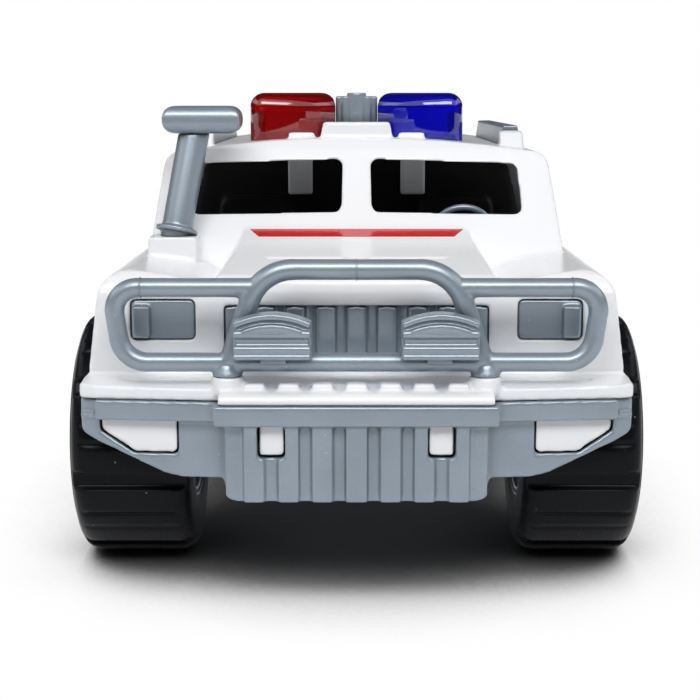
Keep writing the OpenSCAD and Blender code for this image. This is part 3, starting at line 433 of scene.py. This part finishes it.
class AMBULANCE_OT_stage(bpy.types.Operator):
    """Builds the floor, the lamps and the camera"""
    bl_idname = "ambulance.stage"
    bl_label = "Stage"

    def execute(self, context):
        studio = settings()[2]
        camera = bpy.data.objects.new("Camera", bpy.data.cameras.new("Camera"))
        camera.location = studio.eye
        camera.rotation_euler = (math.pi / 2 - studio.pitch, 0, 0)
        camera.data.lens = studio.lens
        camera.data.sensor_width = 36
        camera.data.shift_x = studio.shift
        camera.data.clip_start = 0.01
        context.scene.collection.objects.link(camera)
        context.scene.camera = camera
        self.floor(context)
        self.dark_cards(context)
        self.lamps(context, studio)
        self.backdrop(context, studio)
        context.scene.view_settings.view_transform = "Standard"
        return {"FINISHED"}

    def floor(self, context):
        """A white floor, plain white farther out. Near the car it carries a painted shadow: an occlusion
        mask shows there a nearly black floor, lit by the lamps, in place of white.
        """
        shape = bmesh.new()
        bmesh.ops.create_grid(shape, x_segments=1, y_segments=1, size=6)
        mesh = finished_mesh("Floor", shape)
        material = bpy.data.materials.new("Pale floor with painted shadow")
        material.use_nodes = True
        tree = material.node_tree
        shader = tree.nodes["Principled BSDF"]
        shader.inputs["Roughness"].default_value = 0.6
        path = tree.nodes.new("ShaderNodeLightPath")
        # Camera rays see a nearly black floor colour and other rays a pale one, which paints the shadow
        # darker than the lamps make it.
        tone = add_node(tree, "ShaderNodeMix", data_type="RGBA")
        tone.inputs["A"].default_value = (0.8, 0.8, 0.81, 1)
        tone.inputs["B"].default_value = (0.04, 0.04, 0.042, 1)
        # The occlusion mask paints the shadow's extent: open floor shows plain white, floor near the car
        # shows the nearly black lit floor.
        painted_shade_occlusion = add_node(tree, "ShaderNodeAmbientOcclusion", samples=12, Distance=0.14)
        clear = add_node(tree, "ShaderNodeMapRange", interpolation_type="SMOOTHSTEP")
        clear.inputs["From Min"].default_value = 0.28
        clear.inputs["From Max"].default_value = 0.76
        seen = self.shown_rays(tree)
        white = add_node(tree, "ShaderNodeMath", operation="MULTIPLY")
        glow = add_node(tree, "ShaderNodeEmission", Strength=1.0)
        mix = tree.nodes.new("ShaderNodeMixShader")
        tree.links.new(path.outputs["Is Camera Ray"], tone.inputs["Factor"])
        tree.links.new(tone.outputs["Result"], shader.inputs["Base Color"])
        tree.links.new(painted_shade_occlusion.outputs["AO"], clear.inputs["Value"])
        tree.links.new(clear.outputs["Result"], white.inputs[0])
        tree.links.new(seen.outputs["Value"], white.inputs[1])
        tree.links.new(white.outputs["Value"], mix.inputs["Fac"])
        tree.links.new(shader.outputs["BSDF"], mix.inputs[1])
        tree.links.new(glow.outputs["Emission"], mix.inputs[2])
        tree.links.new(mix.outputs["Shader"], tree.nodes["Material Output"].inputs["Surface"])
        mesh.materials.append(material)
        floor = bpy.data.objects.new("Floor", mesh)
        context.scene.collection.objects.link(floor)

    def shown_rays(self, tree):
        """1 for rays that show the background: from the camera, by gloss or through clear plastic."""
        path = tree.nodes.new("ShaderNodeLightPath")
        seen = add_node(tree, "ShaderNodeMath", operation="MAXIMUM")
        shown = add_node(tree, "ShaderNodeMath", operation="MAXIMUM")
        tree.links.new(path.outputs["Is Camera Ray"], seen.inputs[0])
        tree.links.new(path.outputs["Is Glossy Ray"], seen.inputs[1])
        tree.links.new(seen.outputs["Value"], shown.inputs[0])
        tree.links.new(path.outputs["Is Transmission Ray"], shown.inputs[1])
        return shown

    def dark_cards(self, context):
        """Dark studio cards out of the camera's sight, which give plastic and metal their dark edges."""
        # Middle, size, tilt about X and turn about Z in degrees
        cards = (
            ((0, -1.15, 0.28), (2.6, 0.6), 90, 0),
            ((0, 1.1, 0.85), (2.4, 1.3), 90, 0),
            ((0, 0.35, 1.5), (3.0, 1.7), 0, 0),
            ((-1.0, -0.1, 0.33), (2.0, 0.34), 90, 90),
            ((1.0, -0.1, 0.33), (2.0, 0.34), 90, 90),
        )
        shape = bmesh.new()
        for place, (width, height), tilt, turn in cards:
            card = bmesh.ops.create_grid(shape, x_segments=1, y_segments=1, size=0.5)["verts"]
            tilted = Matrix.Rotation(math.radians(tilt), 3, "X")
            turned = Matrix.Rotation(math.radians(turn), 3, "Z")
            bmesh.ops.scale(shape, vec=(width, height, 1.0), verts=card)
            bmesh.ops.rotate(shape, matrix=turned @ tilted, verts=card)
            bmesh.ops.translate(shape, vec=place, verts=card)
        mesh = finished_mesh("Dark card", shape)
        material = bpy.data.materials.new("Dark card")
        material.use_nodes = True
        shader = material.node_tree.nodes["Principled BSDF"]
        shader.inputs["Base Color"].default_value = (0.02, 0.02, 0.022, 1)
        shader.inputs["Roughness"].default_value = 0.9
        mesh.materials.append(material)
        card = bpy.data.objects.new("Dark_card", mesh)
        card.visible_camera = False
        card.visible_shadow = False
        card.visible_diffuse = False
        context.scene.collection.objects.link(card)

    def lamps(self, context, studio):
        """Softboxes aimed at the car. The overhead one lights it without showing in the gloss."""
        target = Vector((0, -0.05, 0.1))
        lamps = (
            ("Overhead softbox", (0, -0.05, 1.2), (1.4, 1.0), studio.key_power),
            ("Front softbox", (0, -0.98, 0.92), (1.1, 0.45), studio.front_power),
            ("Left softbox", (-1.2, -0.3, 0.6), (0.5, 1.0), studio.side_power),
            ("Right softbox", (1.2, -0.3, 0.6), (0.5, 1.0), studio.side_power),
        )
        for name, place, size, power in lamps:
            light = bpy.data.lights.new(name, "AREA")
            light.shape = "RECTANGLE"
            light.size, light.size_y = size
            light.energy = power
            lamp = bpy.data.objects.new(name, light)
            lamp.location = place
            aim = target - Vector(place)
            lamp.rotation_euler = aim.to_track_quat("-Z", "Y").to_euler()
            lamp.visible_glossy = name != "Overhead softbox"
            context.scene.collection.objects.link(lamp)

    def backdrop(self, context, studio):
        """A white background, with a low even light on the car."""
        world = bpy.data.worlds.new("Studio")
        world.use_nodes = True
        tree = world.node_tree
        sky = tree.nodes["Background"]
        sky.inputs["Color"].default_value = (1, 1, 1, 1)
        level = add_node(tree, "ShaderNodeMapRange")
        level.inputs["To Min"].default_value = studio.fill
        level.inputs["To Max"].default_value = 1.0
        tree.links.new(self.shown_rays(tree).outputs["Value"], level.inputs["Value"])
        tree.links.new(level.outputs["Result"], sky.inputs["Strength"])
        context.scene.world = world


class AMBULANCE_OT_body(bpy.types.Operator):
    """Softens the white body moulding"""
    bl_idname = "ambulance.body"
    bl_label = "White body"

    def execute(self, context):
        finish = settings()[1]
        soft_piece("body_shell", "white_body", white_plastic(), ROOT, "white_plastic",
                   finish.body_voxel, finish.rounding, triangles=170000)
        return {"FINISHED"}


class AMBULANCE_OT_chassis(bpy.types.Operator):
    """Softens the silver chassis with its bumper and skid plate"""
    bl_idname = "ambulance.chassis"
    bl_label = "Chassis"

    def execute(self, context):
        finish = settings()[1]
        soft_piece("chassis", "silver_chassis", silver_plastic(), ROOT, "silver_plastic",
                   finish.body_voxel, finish.rounding, triangles=120000)
        return {"FINISHED"}


class AMBULANCE_OT_nose(bpy.types.Operator):
    """Softens the headlamp inserts, and the grille with squared bars"""
    bl_idname = "ambulance.nose"
    bl_label = "Grille and headlamps"

    def execute(self, context):
        finish = settings()[1]
        silver = silver_plastic()
        for node in ("headlamp_left", "headlamp_right"):
            soft_piece(node, node + "_insert", silver, ROOT, "silver_plastic",
                       finish.trim_voxel, finish.rounding, triangles=30000)
        self.grille(silver, finish)
        return {"FINISHED"}

    def grille(self, silver, finish):
        """The grille, with its bars squared at the top."""
        front = corners("grille_panel")[0].y
        bars, pitch, width = 9, 12.126 * MM, 7.5 * MM
        depth, foot, top = 2.6 * MM, 106.5 * MM, 110.9 * MM
        shape = bmesh.new()
        shape.from_mesh(node_mesh("grille_panel"))
        for bar in range(bars):
            middle = (bar - (bars - 1) / 2) * pitch
            add_block(shape, Vector((middle - width / 2, front, foot)),
                      Vector((middle + width / 2, front + depth, top)))
        mesh = softened(finished_mesh("grille", shape), finish.trim_voxel, finish.rounding, triangles=40000)
        new_piece("grille_panel_insert", mesh, silver, ROOT, "silver_plastic", "grille_panel")


class AMBULANCE_OT_bull_bar(bpy.types.Operator):
    """Softens the bull bar, and moulds the fog lamps and the tubes' seams"""
    bl_idname = "ambulance.bull_bar"
    bl_label = "Bull bar and fog lamps"

    def execute(self, context):
        finish = settings()[1]
        silver = silver_plastic()
        soft_piece("bull_bar", "bar_tubes", silver, ROOT, "silver_plastic",
                   finish.trim_voxel, finish.rounding, triangles=90000)
        for node in ("fog_lamp_left", "fog_lamp_right"):
            self.fog_lamp(node, silver, finish)
        self.seams(silver)
        return {"FINISHED"}

    def fog_lamp(self, node, silver, finish):
        """A fog lamp with thick rounded ribs under an arched brow, moulded in one with its block."""
        low, high = corners(node)
        middle = (low.x + high.x) / 2
        half = (high.x - low.x) / 2
        height = 17.5 * MM
        foot = high.z - height
        front = low.y - 1.6 * MM
        back = low.y + 2.5 * MM
        shape = bmesh.new()
        shape.from_mesh(node_mesh(node))
        # Height as a share of the lamp's, and radius
        ribs = ((0.55, 1.7 * MM), (0.22, 1.6 * MM), (0.05, 1.1 * MM))
        rib_inset = 0.3 * MM
        for share, radius in ribs:
            rib = bmesh.ops.create_cone(shape, cap_ends=True, segments=24, radius1=radius, radius2=radius,
                                        depth=2 * (half - rib_inset))["verts"]
            bmesh.ops.rotate(shape, matrix=Matrix.Rotation(math.pi / 2, 3, "Y"), verts=rib)
            bmesh.ops.translate(shape, vec=(middle, front + radius, foot + share * height), verts=rib)
        rise = 0.2 * height
        bow = (half * half + rise * rise) / (2 * rise)
        # Inset from the lamp's side, and drop from its top
        brows = ((1.2 * MM, 0.1 * MM), (3.4 * MM, 4.0 * MM))
        brow_height = 2.1 * MM
        steps = 8
        overlap = 0.7
        for inset, drop in brows:
            reach = math.asin((half - inset) / bow)
            run = bow * reach / steps * overlap
            top = high.z - drop
            for step in range(-steps, steps + 1):
                brow = add_block(shape, Vector((middle - run, front, top - brow_height)),
                                 Vector((middle + run, back, top)))
                bmesh.ops.rotate(shape, cent=(middle, 0, high.z - bow), verts=brow,
                                 matrix=Matrix.Rotation(reach * step / steps, 3, "Y"))
        mesh = softened(finished_mesh(node, shape), finish.trim_voxel * 0.8, finish.rounding,
                        triangles=40000)
        new_piece(node + "_block", mesh, silver, ROOT, "silver_plastic", node)

    def seams(self, silver):
        """Thin moulding seams round the tubes, at the middle of the hoop and where the loops bend."""
        shape = bmesh.new()
        bar_y = -176
        # Place in X and Z, and radius, in millimetres
        places = ((0, 128, 4.0), (-83, 121, 3.85), (83, 121, 3.85))
        for across, up, radius in places:
            ring = add_ring(shape, radius * MM, width=0.25 * MM, rise=0.3 * MM, steps=40)
            bmesh.ops.rotate(shape, matrix=Matrix.Rotation(math.pi / 2, 3, "Y"), verts=ring)
            bmesh.ops.translate(shape, vec=(across * MM, bar_y * MM, up * MM), verts=ring)
        bmesh.ops.remove_doubles(shape, verts=shape.verts, dist=SAME_POINT)
        bmesh.ops.recalc_face_normals(shape, faces=shape.faces)
        mesh = finished_mesh("bar_seams", shape)
        mesh.shade_smooth()
        new_piece("bar_seams", mesh, silver, ROOT, "silver_plastic")


class AMBULANCE_OT_snorkel(bpy.types.Operator):
    """Softens the snorkel's pipe and head"""
    bl_idname = "ambulance.snorkel"
    bl_label = "Snorkel"

    def execute(self, context):
        finish = settings()[1]
        silver = silver_plastic()
        soft_piece("snorkel_pipe", "snorkel_tube", silver, ROOT, "silver_plastic",
                   finish.trim_voxel, finish.rounding, triangles=24000)
        soft_piece("snorkel_head", "snorkel_intake", silver, ROOT, "silver_plastic",
                   finish.trim_voxel, finish.rounding * 4, triangles=24000)
        return {"FINISHED"}


class AMBULANCE_OT_light_bar(bpy.types.Operator):
    """Moulds the two clear lenses with their reflectors, and the siren between them"""
    bl_idname = "ambulance.light_bar"
    bl_label = "Light bar"

    def execute(self, context):
        colours, finish = settings()[:2]
        for hue, colour in (("red", colours.red), ("blue", colours.blue)):
            clear = lens_plastic(hue.capitalize() + " lens", colour)
            self.lens("beacon_" + hue, hue + "_beacon", clear, hue + "_lens", finish)
            self.reflector("beacon_" + hue, hue + "_reflector", colour, hue + "_lens")
        self.siren(finish)
        return {"FINISHED"}

    def siren(self, finish):
        """The siren: a tall rounded column in the middle, with a lower rib and a block on each side."""
        low, high = corners("siren_block")
        shape = bmesh.new()
        # Width as a share of the block's, then set-back, drop from the top and rounding in millimetres
        columns = ((1.0, 3.4, 1.6, 1.2), (0.72, 2.2, 1.6, 1.6), (0.44, 0.0, 0.0, 4.2))
        for share, back, drop, rounding in columns:
            half = high.x * share
            add_column(shape, Vector((-half, low.y + back * MM, low.z)),
                       Vector((half, high.y - back * MM, high.z - drop * MM)), rounding * MM)
        mesh = softened(finished_mesh("siren", shape), finish.trim_voxel * 0.8, finish.rounding,
                        triangles=30000)
        new_piece("siren", mesh, silver_plastic(), ROOT, "silver_plastic", "siren_block")

    def lens(self, node, name, clear, slot, finish):
        """A hollow clear lens with rounded upper edges, open underneath."""
        low, high = corners(node)
        middle = (low + high) / 2
        shape = bmesh.new()
        add_block(shape, low, high)
        for vert in shape.verts:
            if vert.co.z < middle.z and abs(vert.co.x) < abs(middle.x):
                vert.co.z += finish.lens_rise
        under = [face for face in shape.faces if face.normal.z < -0.5]
        top = [edge for edge in shape.edges if all(vert.co.z > middle.z for vert in edge.verts)]
        outer = [edge for edge in shape.edges if edge not in top
                 and all(abs(vert.co.x) > abs(middle.x) for vert in edge.verts)
                 and any(vert.co.z > middle.z for vert in edge.verts)]
        bmesh.ops.delete(shape, geom=under, context="FACES_ONLY")
        bmesh.ops.bevel(shape, geom=top + outer, offset=finish.lens_round, offset_type="OFFSET",
                        affect="EDGES", segments=7, profile=0.5, material=-1)
        bmesh.ops.recalc_face_normals(shape, faces=shape.faces)
        mesh = finished_mesh(name, shape)
        mesh.shade_smooth()
        mesh = applied(mesh, ("SOLIDIFY", {"thickness": finish.lens_wall, "offset": -1.0}),
                       ("WEIGHTED_NORMAL", {"weight": 100}))
        new_piece(name, mesh, clear, ROOT, slot, node)

    def reflector(self, node, name, colour, slot):
        """The coloured block inside a lens that throws light back."""
        low, high = corners(node)
        size = high - low
        side, front, back, top = 0.16, 0.3, 0.25, 0.3
        stand = 2.5 * MM
        inner_low = Vector((low.x + size.x * side, low.y + size.y * front, low.z + stand))
        inner_high = Vector((high.x - size.x * side, high.y - size.y * back, high.z - size.z * top))
        shape = bmesh.new()
        add_block(shape, inner_low, inner_high)
        bmesh.ops.bevel(shape, geom=shape.edges[:], offset=2.2 * MM, offset_type="OFFSET", affect="EDGES",
                        segments=3, profile=0.5, material=-1)
        mesh = finished_mesh(name, shape)
        mesh.shade_smooth()
        backing = grained_material(name, shade(colour, 1.1), shade(colour, 0.8),
                                   roughness=(0.3, 0.45), fine=800, broad=90, bump=(0.05, 0.0003), IOR=1.49)
        new_piece(name, applied(mesh, ("WEIGHTED_NORMAL", {"weight": 100})), backing, ROOT, slot)


class AMBULANCE_OT_rails(bpy.types.Operator):
    """Softens the roof rails"""
    bl_idname = "ambulance.rails"
    bl_label = "Roof rails"

    def execute(self, context):
        finish = settings()[1]
        silver = silver_plastic()
        for node in ("roof_rail_left", "roof_rail_right"):
            soft_piece(node, node + "_bar", silver, ROOT, "silver_plastic",
                       finish.trim_voxel, finish.rounding, triangles=24000)
        return {"FINISHED"}


class AMBULANCE_OT_cab(bpy.types.Operator):
    """Softens the cab tub and the steering wheel"""
    bl_idname = "ambulance.cab"
    bl_label = "Cab"

    def execute(self, context):
        finish = settings()[1]
        soft_piece("interior_tub", "cab_tub", black_plastic(), ROOT, "black_plastic",
                   finish.body_voxel * 1.4, finish.rounding, triangles=60000)
        soft_piece("steering_wheel", "steering_ring", silver_plastic(), "steering", "silver_plastic",
                   finish.trim_voxel * 0.8, finish.rounding, triangles=24000)
        return {"FINISHED"}


class AMBULANCE_OT_wheels(bpy.types.Operator):
    """Softens the tyres, rims and hub caps, and adds rings to the sidewalls"""
    bl_idname = "ambulance.wheels"
    bl_label = "Wheels"

    def execute(self, context):
        finish = settings()[1]
        tyre = tyre_plastic()
        silver = silver_plastic()
        for place in ("front_left", "front_right", "rear_left", "rear_right"):
            body = "wheel_" + place
            self.sidewall_rings(place, tyre, body)
            soft_piece("tyre_" + place, "tread_" + place, tyre, body, "tyre_plastic",
                       finish.body_voxel, finish.rounding, triangles=60000)
            soft_piece("rim_" + place, "drum_" + place, silver, body, "silver_plastic",
                       finish.body_voxel, finish.rounding, triangles=24000)
            soft_piece("hub_cap_" + place, "cap_" + place, silver, body, "silver_plastic",
                       finish.trim_voxel, finish.rounding, triangles=12000)
        return {"FINISHED"}

    def sidewall_rings(self, place, tyre, body):
        """Raised rings and short ribs on the outer sidewall."""
        low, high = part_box("tyre_" + place)
        outward = 1 if "left" in place else -1
        face = (high if outward > 0 else low)[0]
        middle = Vector((face, (low[1] + high[1]) / 2, (low[2] + high[2]) / 2))
        shape = bmesh.new()
        # Radius, width and rise in millimetres
        rings = ((33, 1.4, 0.7), (41.5, 2.0, 0.8))
        for radius, width, rise in rings:
            add_ring(shape, radius * MM, width * MM, rise * MM, steps=96)
        ribs = 24
        rib_size = (4.5 * MM, 1.4 * MM, 1.0 * MM)
        rib_radius = 37.2 * MM
        for step in range(ribs):
            rib = bmesh.ops.create_cube(shape, size=1.0)["verts"]
            bmesh.ops.scale(shape, vec=rib_size, verts=rib)
            bmesh.ops.translate(shape, vec=(rib_radius, 0, 0), verts=rib)
            bmesh.ops.rotate(shape, matrix=Matrix.Rotation(math.tau * step / ribs, 3, "Z"), verts=rib)
        bmesh.ops.rotate(shape, matrix=Matrix.Rotation(math.pi / 2 * outward, 3, "Y"), verts=shape.verts)
        bmesh.ops.translate(shape, vec=middle, verts=shape.verts)
        bmesh.ops.remove_doubles(shape, verts=shape.verts, dist=SAME_POINT)
        bmesh.ops.recalc_face_normals(shape, faces=shape.faces)
        mesh = finished_mesh("sidewall", shape)
        mesh.shade_smooth()
        new_piece("sidewall_" + place, mesh, tyre, body, "tyre_plastic")


class AMBULANCE_OT_fixings(bpy.types.Operator):
    """Gives the axles, their retainers and the stickers their finish"""
    bl_idname = "ambulance.fixings"
    bl_label = "Axles and stickers"

    def execute(self, context):
        dressed = {
            steel(): ("front_axle", "rear_axle", "axle_retainers"),
            film(): ("hood_decal", "side_stripe_left", "side_stripe_right"),
        }
        for material, nodes in dressed.items():
            for node in nodes:
                NODES[node].data.materials.clear()
                NODES[node].data.materials.append(material)
        return {"FINISHED"}


PIECES = ("body", "chassis", "nose", "bull_bar", "snorkel", "light_bar", "rails", "cab", "wheels",
          "fixings")


class AMBULANCE_PT_panel(bpy.types.Panel):
    """Lists the settings and the pieces"""
    bl_idname = "AMBULANCE_PT_panel"
    bl_label = "Toy Ambulance"
    bl_space_type = "VIEW_3D"
    bl_region_type = "UI"
    bl_category = "Ambulance"

    def draw(self, context):
        for group in settings():
            box = self.layout.box()
            for entry in group.bl_rna.properties:
                if not entry.is_readonly and entry.identifier != "name":
                    box.prop(group, entry.identifier)
        self.layout.operator("ambulance.stage")
        for piece in PIECES:
            self.layout.operator("ambulance." + piece)


CLASSES = (
    AmbulanceColours,
    AmbulanceFinish,
    AmbulanceStudio,
    AMBULANCE_OT_stage,
    AMBULANCE_OT_body,
    AMBULANCE_OT_chassis,
    AMBULANCE_OT_nose,
    AMBULANCE_OT_bull_bar,
    AMBULANCE_OT_snorkel,
    AMBULANCE_OT_light_bar,
    AMBULANCE_OT_rails,
    AMBULANCE_OT_cab,
    AMBULANCE_OT_wheels,
    AMBULANCE_OT_fixings,
    AMBULANCE_PT_panel,
)


def register():
    for entry in CLASSES:
        bpy.utils.register_class(entry)
    bpy.types.Scene.ambulance_colours = bpy.props.PointerProperty(type=AmbulanceColours)
    bpy.types.Scene.ambulance_finish = bpy.props.PointerProperty(type=AmbulanceFinish)
    bpy.types.Scene.ambulance_studio = bpy.props.PointerProperty(type=AmbulanceStudio)


def unregister():
    del bpy.types.Scene.ambulance_colours
    del bpy.types.Scene.ambulance_finish
    del bpy.types.Scene.ambulance_studio
    for entry in reversed(CLASSES):
        bpy.utils.unregister_class(entry)


def main():
    register()
    bpy.ops.ambulance.stage()
    for piece in PIECES:
        getattr(bpy.ops.ambulance, piece)()


if __name__ == "__main__":
    main()
